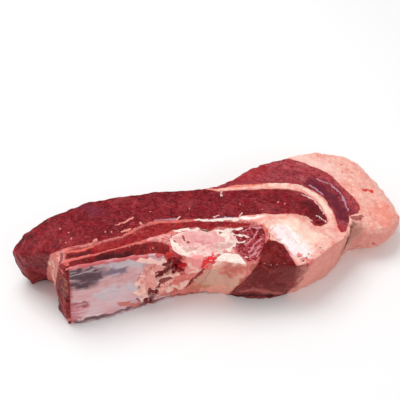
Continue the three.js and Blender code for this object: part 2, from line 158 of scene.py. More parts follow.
class Piece:
    """One piece while it is shaped, from a frame node, on a mesh as fine as a size in mm. rest
    holds its points in mm and facing their outward directions. cut is 1 on the upper cut face,
    side on the walls, front on the near wall and inside away from other pieces. others is the
    distance in mm to the nearest of those, and lift is how far the strokes raise each point."""

    def __init__(self, node, fine):
        solid = bpy.data.objects.new("solid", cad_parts[node].data.copy())
        scene.collection.objects.link(solid)
        work = bmesh.new()
        work.from_mesh(solid.data)
        bmesh.ops.remove_doubles(work, verts=work.verts, dist=1e-5)
        work.to_mesh(solid.data)
        work.free()
        remesh = solid.modifiers.new("fine", "REMESH")
        remesh.mode, remesh.voxel_size = "VOXEL", fine / 1000
        self.node = node
        self.mesh = bpy.data.meshes.new_from_object(
            solid.evaluated_get(bpy.context.evaluated_depsgraph_get()))
        bpy.data.objects.remove(solid)
        self.mesh.materials.clear()
        count = len(self.mesh.vertices)
        places, ways = np.zeros(count * 3, np.float32), np.zeros(count * 3, np.float32)
        self.mesh.vertices.foreach_get("co", places)
        self.mesh.vertex_normals.foreach_get("vector", ways)
        self.rest = places.reshape(-1, 3).astype(float) * 1000
        self.facing = ways.reshape(-1, 3).astype(float)
        self.cut = soft(self.facing[:, 2], 0.3, 0.7)
        self.side = soft(np.abs(self.facing[:, 2]), 0.7, 0.3)
        self.front = soft(-self.facing[:, 1], 0.2, 0.5) * (1 - self.cut)
        self.others = self.near(*sorted(set(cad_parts) - {node}))
        self.inside = soft(self.others, 0.6, 3.0)
        self.jitter = np.stack([waves(self.rest, 3.2, s) for s in (31, 32, 33)], 1)
        self.lift = np.zeros(count)
        self.marks, self.tints = {}, {}

    def near(self, *nodes):
        """The distance in mm from each point to the nearest of some frame nodes, up to FAR."""
        tree, found = search_tree(nodes), np.full(len(self.rest), FAR)
        for i, point in enumerate(self.rest):
            distance = tree.find_nearest(point, FAR)[3]
            if distance is not None:
                found[i] = distance
        return found

    def brush(self, line, width, view="xy", ragged=0.4, spots=False, faint=False):
        """1 along a line of places in mm, or on each of them as a spot, and 0 outside its width,
        with a soft edge if faint. The line lies on the cut face (xy), the near wall (xz) or in
        space (xyz)."""
        axes = ["xyz".index(axis) for axis in view]
        points = self.rest[:, axes] + self.jitter[:, axes] * ragged * width
        line = np.array(line, float)
        best = np.min([np.linalg.norm(points - place, axis=1) for place in line], axis=0)
        for start, end in zip(line[:-1], line[1:]):
            if not spots:
                along = np.clip((points - start) @ (end - start) / ((end - start) @ (end - start)), 0, 1)
                off = points - start - along[:, None] * (end - start)
                best = np.minimum(best, np.linalg.norm(off, axis=1))
        amount = soft(best, 1.2 * width, 0.0) if faint else soft(best, 0.75 * width, 0.3 * width)
        return {"xy": self.cut, "xz": self.front, "xyz": 1}[view] * amount

    def paint(self, name, amount, colour, share, wash=True):
        """Lays a mark's colour on, by an amount from 0 to 1 at each point, as a wash or crisply.
        The first stroke of a name that reaches the piece sets the colour of them all."""
        if amount.max() > 0.02:
            self.marks[name] = np.maximum(self.marks.get(name, 0), amount)
            self.tints.setdefault(name, (colour, share, wash))

    def stroke(self, name, line, width, colour, share, press=0.0, **how):
        """A painted stroke along a line, of a width in mm, with a share of its colour. It may also
        stand out, or be sunk in, by some mm. how says the rest of the brush."""
        amount = self.brush(line, width, **how)
        self.paint(name, amount, colour, share, wash=how.get("faint", False))
        self.lift += press * amount

    def grain(self, spine):
        """Each point's place along a line, across it and in height, in mm. Past both ends the
        line runs straight on."""
        points, spine = self.rest[:, :2], np.array(spine, float)
        best, gone, beyond = np.full(len(points), 1e9), 0.0, 99
        along, across = np.zeros(len(points)), np.zeros(len(points))
        for i, (start, end) in enumerate(zip(spine[:-1], spine[1:])):
            length = np.linalg.norm(end - start)
            way = (end - start) / length
            here = (points - start) @ way
            low, high = 0 if i else -beyond, length + beyond * (i == len(spine) - 2)
            off = points - start - np.clip(here, low, high)[:, None] * way
            far = np.linalg.norm(off, axis=1)
            nearest = far < best
            along[nearest] = gone + here[nearest]
            across[nearest] = (far * np.sign(off @ (-way[1], way[0])))[nearest]
            best, gone = np.minimum(best, far), gone + length
        return np.stack([along, across, self.rest[:, 2]], 1)

    def done(self, slot, material, uneven, **marks):
        """Moves the points by the slight drift that all pieces share, by the piece's own unevenness
        and by its strokes, and swells its seams by 0.3 mm, so that neighbours stay in touch. Stores
        the marks that its material reads, and joins it to the frame, inside the frame's box."""
        drift = np.stack([0.6 * waves(self.rest, 7, s) + 0.3 * waves(self.rest, 3, s + 5)
                          for s in (1, 2, 3)], 1) * (1, 1, 0.45)
        close = 0.3 * soft(self.others, 1.5, 0.6)[:, None] * np.maximum(self.facing, (-1, -1, 0))
        out = (self.inside * uneven + self.lift)[:, None] * self.facing
        points = np.clip(self.rest + drift + close + out, LOW, HIGH) / 1000
        self.mesh.vertices.foreach_set("co", points.astype(np.float32).ravel())
        for name, amount in {**self.marks, **marks}.items():
            flat = np.asarray(amount, np.float32)
            kind, field = ("FLOAT_VECTOR", "vector") if flat.ndim == 2 else ("FLOAT", "value")
            layer = self.mesh.attributes.new(name, kind, "POINT")
            layer.data.foreach_set(field, flat.ravel())
        self.mesh.materials.append(material)
        self.mesh.shade_smooth()
        piece = bpy.data.objects.new(self.node + "_piece", self.mesh)
        scene.collection.objects.link(piece)
        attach(piece, "root")
        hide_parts(self.node)


def add(tree, kind, inputs=None, **settings):
    """A shader node. Each input is a constant or another node's output."""
    node = tree.nodes.new("ShaderNode" + kind)
    for name, value in settings.items():
        setattr(node, name, value)
    for name, value in (inputs or {}).items():
        if isinstance(value, bpy.types.NodeSocket):
            tree.links.new(value, node.inputs[name])
        else:
            node.inputs[name].default_value = value
    return node


def maths(tree, operation, a, b):
    """Two values added, subtracted or multiplied."""
    return add(tree, "Math", {0: a, 1: b}, operation=operation).outputs[0]


def mix(tree, share, under, over):
    """One colour laid over another by a share of 0 to 1. Inputs 6 and 7 and output 2 are colours."""
    return add(tree, "Mix", {0: share, 6: under, 7: over}, data_type="RGBA").outputs[2]


def scale(tree, value, low, high, to_low=0.0, to_high=1.0):
    """A value's stretch from low to high brought to another one, and kept within it."""
    limits = {"Value": value, "From Min": low, "From Max": high, "To Min": to_low, "To Max": to_high}
    return add(tree, "MapRange", limits).outputs[0]


def cloud(tree, place, size, seed, stretch=(1, 1, 1), detail=3.0):
    """Noise from 0 to 1 with lumps of a size in mm, longer along some axes."""
    scaling = tuple(1 / (size * s) for s in stretch)
    placed = add(tree, "Mapping", {"Vector": place, "Location": (seed * 3.7,) * 3, "Scale": scaling})
    texture = {"Vector": placed.outputs[0], "Scale": 1.0, "Detail": detail, "Roughness": 0.6}
    return add(tree, "TexNoise", texture).outputs[0]


def mark(tree, name, output="Fac"):
    """One of the marks stored with the mesh."""
    return add(tree, "Attribute", attribute_name=name).outputs[output]


def web(tree, place, size, seed, width, stretch=(1, 1, 1)):
    """Thin crooked lines that meet in a net, about a size in mm apart: 1 on them, 0 between."""
    sway = (2.2 * size, -2.0 * size, 1.4 * size)
    drift = add(tree, "VectorMath", {"Vector": sway, "Scale": cloud(tree, place, size, seed, detail=2.0)},
                operation="SCALE")
    bent = add(tree, "VectorMath", {0: place, 1: drift.outputs[0]}, operation="ADD")
    scaling = tuple(1 / (size * s) for s in stretch)
    placed = add(tree, "Mapping", {"Vector": bent.outputs[0], "Scale": scaling}).outputs[0]
    cells = add(tree, "TexVoronoi", {"Vector": placed, "Scale": 1.0}, feature="DISTANCE_TO_EDGE")
    return scale(tree, cells.outputs["Distance"], width, 0.3 * width)


def painted(tree, colour, piece, broken):
    """The piece's marks laid over a colour: strokes with frayed edges, and soft washes. fray is how
    much the noise breaks a mark up, and low and high are where its colour starts and is full."""
    for name, (tint, share, wash) in piece.tints.items():
        fray, low, high = (0.35, 0.05, 0.9) if wash else (0.55, 0.28, 0.62)
        patchy = scale(tree, broken, 0.3, 0.7, 1 - fray, 1 + fray)
        frayed = maths(tree, "MULTIPLY", mark(tree, name), patchy)
        colour = mix(tree, scale(tree, frayed, low, high, 0.0, share), colour, srgb(*tint))
    return colour


def blank(name, roughness, soak, colour_radius=(1.0, 0.35, 0.25)):
    """A new material, its node tree and its shader, with the shader's fixed values set. soak is how
    much light enters the surface, and colour_radius how far its red, green and blue spread."""
    material = bpy.data.materials.new(name)
    material.use_nodes = True
    shader = material.node_tree.nodes["Principled BSDF"]
    shader.inputs["Roughness"].default_value = roughness
    shader.inputs["Specular IOR Level"].default_value = 0.3
    shader.inputs["Subsurface Weight"].default_value = soak
    shader.inputs["Subsurface Radius"].default_value = colour_radius
    shader.inputs["Subsurface Scale"].default_value = 0.002
    return material, material.node_tree, shader


def lean(name, seed, piece, deep, bright, pale, strand=3.5, strands=0.5, flecks=0.45, net=0.0):
    """Raw lean meat: mottled in two reds, with pale strands along the grain, dark flecks and painted
    specks of wet glint, and pinker at a ragged edge where fat begins. strand is how long the strands
    are, strands and flecks are how strongly they show, and net is the share of white marbling."""
    material, tree, shader = blank(name, 0.34, 0.06)
    shader.inputs["Specular IOR Level"].default_value = 0.1
    place = mark(tree, "grain", "Vector")
    mottle = cloud(tree, place, 4.4, seed, detail=7.0)
    fibre = cloud(tree, place, 1.1, seed + 1, stretch=(strand, 1.0, 2.0))
    fine = cloud(tree, place, 1.7, seed + 2, detail=4.0)
    painted_glint = cloud(tree, place, 1.2, seed + 4, detail=1.0)
    tone = cloud(tree, place, 17.0, seed + 6)
    colour = mix(tree, scale(tree, mottle, 0.36, 0.62), srgb(*deep), srgb(*bright))
    colour = mix(tree, scale(tree, tone, 0.5, 0.32, 0.0, 0.35), colour, srgb(*(0.7 * c for c in deep)))
    colour = mix(tree, scale(tree, tone, 0.52, 0.7, 0.0, 0.25), colour, srgb(*pale))
    colour = mix(tree, scale(tree, fibre, 0.54, 0.72, 0.0, strands), colour, srgb(*pale))
    colour = mix(tree, scale(tree, fine, 0.5, 0.34, 0.0, flecks), colour, srgb(*(0.45 * c for c in deep)))
    colour = mix(tree, scale(tree, fine, 0.56, 0.7, 0.0, 0.38), colour, srgb(*pale))
    # Specks of painted glint, for light caught on the wet meat.
    colour = mix(tree, scale(tree, painted_glint, 0.71, 0.8, 0.0, 0.5), colour, srgb(214, 112, 112))
    if net:
        lines = web(tree, place, 3.6, seed + 3, 0.06, stretch=(1.6, 0.8, 1.2))
        lines = maths(tree, "MULTIPLY", lines, scale(tree, mottle, 0.44, 0.54, 0.0, net))
        colour = mix(tree, lines, colour, srgb(240, 190, 190))
    edge = maths(tree, "ADD", mark(tree, "to_fat"), scale(tree, fine, 0.3, 0.7, -0.5, 0.5))
    colour = mix(tree, scale(tree, edge, 1.0, 0.3, 0.0, 0.55), colour, srgb(196, 72, 70))
    colour = painted(tree, colour, piece, fine)
    tree.links.new(colour, shader.inputs["Base Color"])
    rough = add(tree, "Bump", {"Height": fine, "Strength": 0.55, "Distance": 0.0009})
    drawn = add(tree, "Bump", {"Height": fibre, "Strength": 0.4, "Distance": 0.0006,
                               "Normal": rough.outputs[0]})
    tree.links.new(drawn.outputs[0], shader.inputs["Normal"])
    return material


deep = Piece("deep_muscle", 1.0)
deep_grain = deep.grain([(-160.8, 11.9), (-126.9, 16.7), (-84.2, 21.4), (-41.1, 21.3), (8.3, 7.6),
                         (56.5, -10.9), (91.8, -26.8)])
# Darker and brighter places first, then a bluish vein, a film of tissue and the pale strands.
dusk, pale = (62, 14, 22), (236, 150, 138)
deep.stroke("glint", [(-105.7, 23.5), (-101.3, 20.1), (-96.5, 14.3)], 9, (120, 44, 66), 0.5, faint=True)
deep.stroke("brown", [(-159.4, -2.8, 19), (-155.9, -0.9, 11.2), (-152, 1.8, 4.9)], 6, (140, 40, 34),
            0.6, view="xyz")
deep.stroke("bright", [(-168.9, 7.5, 38.7), (-166.3, 1.5, 39.1), (-163.9, -2.1, 36.2)], 5, (172, 34, 42),
            0.6, view="xyz")
deep.stroke("dusk", [(-163.9, 10.8, 42.4), (-159, 11.9, 46.9), (-152.9, 10.2, 51.6)], 4, dusk, 0.6,
            view="xyz")
deep.stroke("dusk", [(83.1, -3.6), (86.9, -13.2), (88.8, -22.7)], 6, dusk, 0.6, faint=True)
deep.stroke("blue", [(4.4, -8.6), (10.4, -9.3), (15.4, -10.3)], 2.0, (86, 56, 84), 0.8)
deep.stroke("film", [(-55.9, -4.7), (-45.6, -4.5), (-34.3, -3.9)], 2.6, (196, 150, 168), 0.8)
deep.stroke("pale", [(-83.4, -3.6), (-76.9, -0.4), (-68.4, 3.8)], 1.4, pale, 0.9, ragged=0.7)
deep.stroke("pale", [(-129.4, 1.2), (-131.7, -12.8), (-123.2, -5.8), (-94.6, -9.9), (-89.9, -11),
                     (-127.4, -16.2), (-122.8, -13.1), (63.4, -1.7), (59, 1.7), (42.2, -5),
                     (-18.4, 6.9), (-52.9, 8.2), (25.4, 4.7)], 1.5, pale, 0.9, spots=True)
for line, width in (([(-105.3, -19.2), (-104, -18.4)], 2.6), ([(-81, -11.9), (-74.7, -9.9)], 1.8),
                    ([(-64, -3.1), (-63.2, -6.8)], 2.0)):
    deep.stroke("pale", line, width, pale, 0.9)
for line in ([(-33.8, -5.4), (-29.5, -2)], [(-0.5, -7.4), (3.6, -5.4)], [(4.7, -10.6), (7.9, -8.8)],
             [(19.6, -11), (23.3, -7.8)], [(20.2, 29.2), (16.1, 24.5), (12.3, 17.8)],
             [(74.7, -18.8), (78.1, -21.9), (80.1, -26.2)], [(86.3, -19.6), (89.2, -24), (91.8, -29.3)],
             [(84.1, 6.7), (90.2, 0.6), (93, -9.3), (94, -18.7)]):
    deep.stroke("white", line, 1.3, (240, 196, 190), 0.85, ragged=0.8)
deep.done("red_muscle", lean("deep_muscle_red", 1, deep, (98, 2, 14), (148, 20, 34), (200, 94, 98)),
          uneven=0.4 * waves(deep.rest, 4.5, 41) + 0.25 * waves(deep_grain * (0.3, 1, 1), 2.0, 42),
          grain=deep_grain, to_fat=deep.near(*FAT))

# ---- The outer muscle and its head ----
# The paler muscle that curls round the breast end between two layers of fat, its grain along the
# curl, purple where it bends. A silvery seam joins it to its redder outer head.
outer_spine = [(31.7, 43.9), (76.9, 47.5), (104.9, 31.7), (112.9, 2.8), (111.5, -24), (102.6, -41.2)]
silver_seam = [(104.9, 26.8), (113.3, 18.4), (118.8, 7.9), (118.6, -6.5), (116.1, -19.5)]
silver, flushed, plum = (206, 158, 176), (168, 34, 40), (120, 34, 52)

outer = Piece("outer_muscle", 0.9)
outer_grain = outer.grain(outer_spine)
outer.stroke("purple", [(97.8, 20.5), (106, 9.5), (109.6, -7.7), (108.8, -25.9)], 10, (92, 20, 42), 0.8,
             faint=True)
outer.stroke("red", [(32.5, 39.3), (47.6, 45.4), (60.2, 49.3)], 10, flushed, 0.6, faint=True)
outer.stroke("red", [(102.9, -36.1), (101.3, -42.3)], 5, flushed, 0.6)
outer.stroke("silver", silver_seam, 1.1, silver, 0.7, ragged=0.9)
outer.stroke("silver", [(95.9, 18.1), (100.2, 11.8), (102, 4.2)], 1.2, silver, 0.7, ragged=0.9)
outer.done("outer_muscle",
           lean("outer_muscle_red", 5, outer, (138, 30, 44), (180, 62, 71), (214, 130, 134), strand=8.0,
                strands=0.55, flecks=0.6),
           uneven=0.35 * waves(outer.rest, 4.5, 43) + 0.2 * waves(outer_grain * (0.25, 1, 1), 2.0, 44),
           grain=outer_grain, to_fat=outer.near(*FAT))

head = Piece("outer_head", 0.9)
head.stroke("purple", [(108.8, 24.2), (115.6, 12.2), (117.1, -5.6), (115.5, -23.3)], 5, plum, 0.7)
head.stroke("purple", [(119, -21.4), (122.3, -24.8)], 5, plum, 0.7)
head.stroke("red", [(126.1, 35.7), (132.5, 19.8), (132.5, 1.2)], 8, (172, 46, 44), 0.7)
head.stroke("silver", silver_seam, 1.1, silver, 0.7, ragged=0.9)
head.done("outer_muscle",
          lean("outer_head_red", 7, head, (146, 38, 48), (188, 66, 75), (218, 136, 138), strand=8.0,
               strands=0.5, flecks=0.6),
          uneven=0.35 * waves(head.rest, 4.5, 45),
          grain=head.grain([(99.1, 55.2), (123.7, 42.1), (134.5, 15.2), (132.5, -10.1), (124.7, -23.7)]),
          to_fat=head.near(*FAT))

# ---- The strip and the intercostal muscle ----
# A thin strip held between two fat lines, and below it the dark muscle between the ribs, which
# also makes the raw left end of the chest wall, with pits and blobs of spongy flesh.
strip = Piece("strip_muscle", 0.9)
strip_spine = [(-131.4, -38.9), (-102.1, -27.1), (-67.8, -19.2), (-33.8, -18.2), (-3.8, -18.5),
               (14.2, -16.7)]
# A painted shadow under the raised salmon line, then the line itself.
strip.stroke("dusk", [(-127, -32.2), (-119.1, -32.7), (-110.8, -31.2)], 3.5, (72, 4, 14), 0.85, faint=True)
strip.stroke("salmon", [(-128.6, -28.1), (-121.5, -28.2), (-113.3, -27.3), (-103.7, -23.1),
                        (-93.9, -20.8)], 2.0, (232, 112, 100), 0.85, press=0.4)
strip.done("red_muscle",
           lean("strip_muscle_red", 13, strip, (122, 6, 16), (172, 30, 36), (208, 98, 94), strands=0.6),
           uneven=0.35 * waves(strip.rest, 4.0, 46), grain=strip.grain(strip_spine),
           to_fat=strip.near(*FAT))

intercostal = Piece("intercostal_muscle", 0.9)
intercostal.stroke("dusk", [(-104.4, -39), (-92.4, -39.2), (-80.2, -38.8)], 6, (50, 2, 8), 0.85,
                   faint=True)
intercostal.stroke("rosy", [(-131.6, -45.4), (-120.4, -44.3), (-107.6, -43.4), (-95.6, -43.2),
                            (-84.2, -42.2)], 2.0, (234, 128, 126), 0.85)
intercostal.stroke("pale", [(-78.4, -30.7), (-60.6, -35.3), (-63.5, -37.3)], 1.3, pale, 0.9, spots=True)
intercostal.stroke("pink", [(-134.1, -36.6, 59.8), (-131.4, -39.9, 60.1)], 4, (238, 124, 110), 0.8,
                   view="xyz")
# The raw left end: soft red flesh with ochre and pink blobs and dark pits.
intercostal.stroke("spongy", [(-136, -40, 55), (-136, -44, 30), (-136, -47, 6)], 9, (160, 50, 52), 0.7,
                   view="xyz", faint=True)
intercostal.stroke("ochre", [(-136.5, -43, 28), (-136, -45, 20), (-136.5, -47, 11), (-135, -46, 24)], 2.4,
                   (196, 104, 72), 0.7, view="xyz", spots=True)
intercostal.stroke("pinkspots", [(-136, -44, 50), (-136, -42, 33), (-136, -48, 34), (-136, -46, 16),
                                 (-136, -49, 6), (-136, -41, 45), (-134, -42, 56)], 3.8, (216, 120, 112),
                   0.8, view="xyz", spots=True, press=0.6)
intercostal.stroke("pits", [(-136, -46, 44), (-136, -43, 39), (-136, -48, 28), (-136, -43, 12),
                            (-136, -47, 2), (-136, -41, 22)], 4.0, (52, 4, 10), 0.9, view="xyz",
                   spots=True, press=-1.0)
intercostal.done("dark_muscle",
                 lean("intercostal_red", 9, intercostal, (84, 2, 8), (144, 18, 24), (184, 70, 68)),
                 uneven=0.7 * waves(intercostal.rest, 4.0, 47), grain=intercostal.grain(strip_spine),
                 to_fat=intercostal.near(*FAT))

# ---- The marbled and the dark muscle ----
# Two small muscles grown to the breastbone and its gristle. The marbled one is shot through with
# pinkish fat, and points of bone reach into it. The dark one also shows on the near wall, with a
# pale fold at its foot.
marbled = Piece("marbled_muscle", 0.7)
for line in ([(17.1, -28.8), (26.1, -24.6), (32.8, -27.8)],
             [(14.1, -45.3), (21.6, -38.8), (27.5, -33.9), (30, -29.8)],
             [(15.6, -54.2), (21.8, -44.9), (29.9, -40.2)],
             [(12.8, -59.6), (19.6, -55), (26.5, -47)],
             [(18.3, -59.1), (23.7, -55.5)],
             [(13.4, -23.3), (19.4, -21.8)]):
    marbled.stroke("vein", line, 1.3, (228, 152, 160), 0.7, ragged=1.2)
for line, width in (([(8, -27), (13.8, -24.2), (18, -24.5)], 2.4),
                    ([(9, -33), (14.1, -34.2), (19, -35.5)], 1.8),
                    ([(5, -38), (10, -41.2), (14, -40.6)], 2.2),
                    ([(0.1, -49.2), (5, -55.3), (8, -59.3)], 3.0)):
    marbled.stroke("bony", line, width, (250, 224, 216), 0.95, ragged=1.0, press=0.3)
marbled.done("red_muscle",
             lean("marbled_muscle_red", 17, marbled, (116, 4, 18), (166, 26, 40), (206, 98, 106),
                  strand=3.0, strands=0.45, net=0.45),
             uneven=0.35 * waves(marbled.rest, 3.0, 48), grain=marbled.rest, to_fat=marbled.near(*FAT))

dark = Piece("dark_muscle", 0.8)
dark.paint("brown", dark.front * soft(dark.rest[:, 2], 46, 34), (158, 76, 72), 0.42)
dark.stroke("shade", [(43.6, 40.4), (41.4, 28.1), (36.2, 14.8)], 9, (112, 48, 44), 0.6, view="xz",
            faint=True)
dark.stroke("lilac", [(46.5, -48.1), (47.5, -56.7), (47, -67.8)], 3.4, (150, 50, 74), 0.75, faint=True)
dark.stroke("blotch", [(12, 22), (30, 30), (22, 36), (36, 20)], 9, (92, 10, 16), 0.6, view="xz",
            ragged=1.2, faint=True)
# Specks of painted glint near the top of the wet near wall.
dark.stroke("specks", [(23.9, -67.7, 46.1), (28.7, -68.8, 44.6), (33.5, -69.7, 44.3), (39.1, -70.7, 44.8)],
            1.1, (226, 150, 146), 0.8, view="xyz", spots=True)
dark.stroke("fold", [(5.8, 11.7), (14.8, 15.6), (26.6, 11.7), (39.5, 6)], 3.0, (176, 96, 92), 0.75,
            view="xz", press=1.0, faint=True)
dark.stroke("foot", [(1.8, 1.7), (16.4, 7.4), (32.6, 2.8)], 4, (66, 8, 14), 0.8, view="xz", press=-0.6)
dark.done("dark_muscle",
          lean("dark_muscle_red", 11, dark, (80, 0, 2), (126, 6, 12), (172, 74, 74), strands=0.4),
          uneven=0.5 * waves(dark.rest, 4.0, 49) + 0.3 * waves(dark.rest, 2.0, 71), grain=dark.rest,
          to_fat=dark.near(*FAT))


# ---- The seam fat and the fat cap ----
# The creamy fat that joins the muscles, very white beside the tendon, and the pink outer cap with
# a red nick in it. On the near wall a groove, grey-brown with painted shade, parts the cap from the
# muscle.
def fat(name, seed, piece, cream, pink, edge, patch=9.0, veins=0.35, reach=2.2, coarse=0.7):
    """Raw fat: cream and pink in patches, in small soft lumps, with thin red veins, and redder
    within a reach of the meat. coarse is how much its fine grains differ."""
    material, tree, shader = blank(name, 0.42, 0.2, (1.0, 0.5, 0.35))
    place = mark(tree, "place", "Vector")
    clouds = cloud(tree, place, patch, seed, detail=6.0)
    fine = cloud(tree, place, 1.6, seed + 1, detail=4.0)
    lumps = add(tree, "TexVoronoi", {"Vector": place, "Scale": 0.25, "Smoothness": 0.6},
                feature="SMOOTH_F1").outputs["Distance"]
    colour = mix(tree, scale(tree, clouds, 0.4, 0.6), srgb(*cream), srgb(*pink))
    colour = mix(tree, scale(tree, fine, 0.52, 0.68, 0.0, coarse), colour, srgb(*edge))
    colour = mix(tree, scale(tree, fine, 0.48, 0.34, 0.0, 0.8 * coarse), colour, srgb(255, 242, 230))
    colour = mix(tree, scale(tree, lumps, 0.45, 0.8, 0.0, 0.4), colour, srgb(*edge))
    nearness = maths(tree, "ADD", mark(tree, "to_lean"), scale(tree, fine, 0.3, 0.7, -0.7, 0.7))
    colour = mix(tree, scale(tree, nearness, reach, 0.2, 0.0, 0.8), colour, srgb(*edge))
    veining = maths(tree, "MULTIPLY", web(tree, place, 13.0, seed + 2, 0.035),
                    scale(tree, clouds, 0.5, 0.62, 0.0, veins))
    colour = mix(tree, veining, colour, srgb(186, 62, 58))
    small = cloud(tree, place, 1.0, seed + 3)
    colour = mix(tree, scale(tree, small, 0.47, 0.3, 0.0, 0.45 * coarse), colour, srgb(255, 232, 220))
    colour = painted(tree, colour, piece, fine)
    colour = mix(tree, scale(tree, small, 0.53, 0.7, 0.0, 0.6 * coarse), colour, srgb(*edge))
    tree.links.new(colour, shader.inputs["Base Color"])
    height = maths(tree, "SUBTRACT", fine, lumps)
    bump = add(tree, "Bump", {"Height": height, "Strength": 0.6, "Distance": 0.001})
    tree.links.new(bump.outputs[0], shader.inputs["Normal"])
    return material


def creased(piece):
    """The groove between the cap and the muscle, darkened by painted shade, and dark red shreds above it.
    """
    piece.stroke("shreds", [(112.3, -24.1, 37.7), (113.9, -29.5, 37.5), (119.4, -29.5, 37.3),
                            (125.3, -28.9, 36.4)], 4.5, (146, 46, 50), 0.85, view="xyz", ragged=0.7)
    # A wide wash of painted shade along the groove, then a painted shadow deep in it.
    piece.stroke("crease_shade", [(117.9, -38.5, 34.1), (112, -40.8, 28), (105.7, -46.4, 28), (103.7, -47.2, 20)],
                 9.0, (166, 114, 98), 0.75, view="xyz", faint=True)
    piece.stroke("crease", [(115.8, -34.1, 37.1), (110.5, -40.8, 34.6), (105.7, -46, 31),
                            (103.7, -47.2, 20), (103.7, -46.2, 6)], 3.0, (104, 62, 56), 0.8, view="xyz",
                 press=-1.8, faint=True)


seam = Piece("seam_fat", 0.8)
# Pale bands and blushes on the cut face, then the raw places on the wall.
light, white, blush, orange = (254, 222, 202), (255, 246, 242), (244, 152, 138), (238, 112, 86)
seam.paint("wall", seam.side, (220, 134, 120), 0.85)
seam.stroke("light", [(54.6, -26.7), (62.3, -35.3), (67.3, -45.8)], 14, light, 0.8, faint=True)
seam.stroke("light", [(61.8, 25.8), (76.5, 24.8), (86.4, 20.6)], 3.4, light, 0.8)
seam.stroke("light", [(89.9, 14.8), (96, 1), (97.9, -18.1)], 4.4, light, 0.8)
seam.stroke("white", [(50.1, -34.1), (55, -48.3), (59.6, -61.1)], 12, white, 0.95, faint=True)
seam.stroke("white", [(-1.1, -9.7), (15.5, -12.8), (28.3, -14.4), (38, -15.5)], 3.2, white, 0.95,
            ragged=0.6)
seam.stroke("blush", [(102.4, -21.1), (101.3, -30.8), (98.3, -43)], 5, blush, 0.7, faint=True)
seam.stroke("blush", [(28.9, -18.3), (41.8, -17), (58.3, -18.8)], 3, blush, 0.7, faint=True)
seam.stroke("orange", [(36.2, -24.3), (36.4, -35.7), (32.3, -42.8)], 4, orange, 0.75, ragged=0.7)
seam.stroke("orange", [(22.8, 28.6), (32.8, 28.2), (41.9, 27.7), (52.7, 26.8)], 2.2, orange, 0.75,
            ragged=0.8)
seam.stroke("ruddy", [(45.6, 41.5), (48.2, 33.3), (46.1, 21.9)], 14, (128, 44, 42), 0.95, view="xz",
            faint=True)
seam.stroke("raw", [(55, -69, 43.4), (59.8, -74.2, 41.9), (63, -72, 42)], 4.5, (218, 92, 90), 0.8,
            view="xyz", ragged=0.9)
seam.stroke("grey", [(62.1, -64.5), (75.5, -59)], 1.6, (112, 92, 84), 0.9, spots=True)
seam.stroke("hole", [(55.2, -71.4, 43.4), (57.8, -74.2, 40.9), (59.6, -68.4, 43.2)], 2.0, (84, 26, 28), 0.9,
            view="xyz", spots=True, press=-0.8)
creased(seam)
seam.done("cream_fat",
          fat("cream_fat", 21, seam, (252, 207, 191), (241, 165, 152), (224, 116, 104), patch=11.0,
              coarse=0.35),
          uneven=0.6 * waves(seam.rest, 6, 51) + 0.3 * waves(seam.rest, 2.6, 60),
          place=seam.rest, to_lean=seam.near(*LEAN))

cap = Piece("fat_cap", 0.9)
apricot = (244, 132, 112)
cap.paint("wall", cap.side, (216, 138, 126), 0.8)
cap.stroke("light", [(99.1, 55.2), (114.3, 48.5), (123.7, 37.2)], 12, (255, 212, 202), 0.7, faint=True)
cap.stroke("orange", [(148.2, -19), (148.9, -32.4), (151, -38.5)], 14, apricot, 0.65, faint=True)
cap.stroke("orange", [(155.4, -12, 28.3), (154, -25.6, 28.7), (148.2, -34.3, 29.7)], 5, apricot, 0.65,
           view="xyz", faint=True)
cap.stroke("nick", [(143.3, 8, 31.8), (146.9, 9.3, 30.5), (150.1, 7.4, 29.6)], 4.2, (222, 20, 20), 0.95,
           view="xyz", press=-1.0)
cap.stroke("speck", [(133.2, 35.9), (137.8, 47.9)], 2.0, (206, 90, 76), 0.8, spots=True)
cap.stroke("ruddy", [(130.2, -44.7, 18.7), (133.8, -43.7, 15.7)], 2.4, (176, 66, 66), 0.8, view="xyz")
creased(cap)
cap.done("pink_fat",
         fat("cap_fat", 25, cap, (254, 194, 178), (246, 166, 150), (226, 116, 98), reach=1.2, coarse=0.5),
         uneven=0.7 * waves(cap.rest, 6, 52) + 0.35 * waves(cap.rest, 2.6, 61),
         place=cap.rest, to_lean=cap.near(*LEAN))
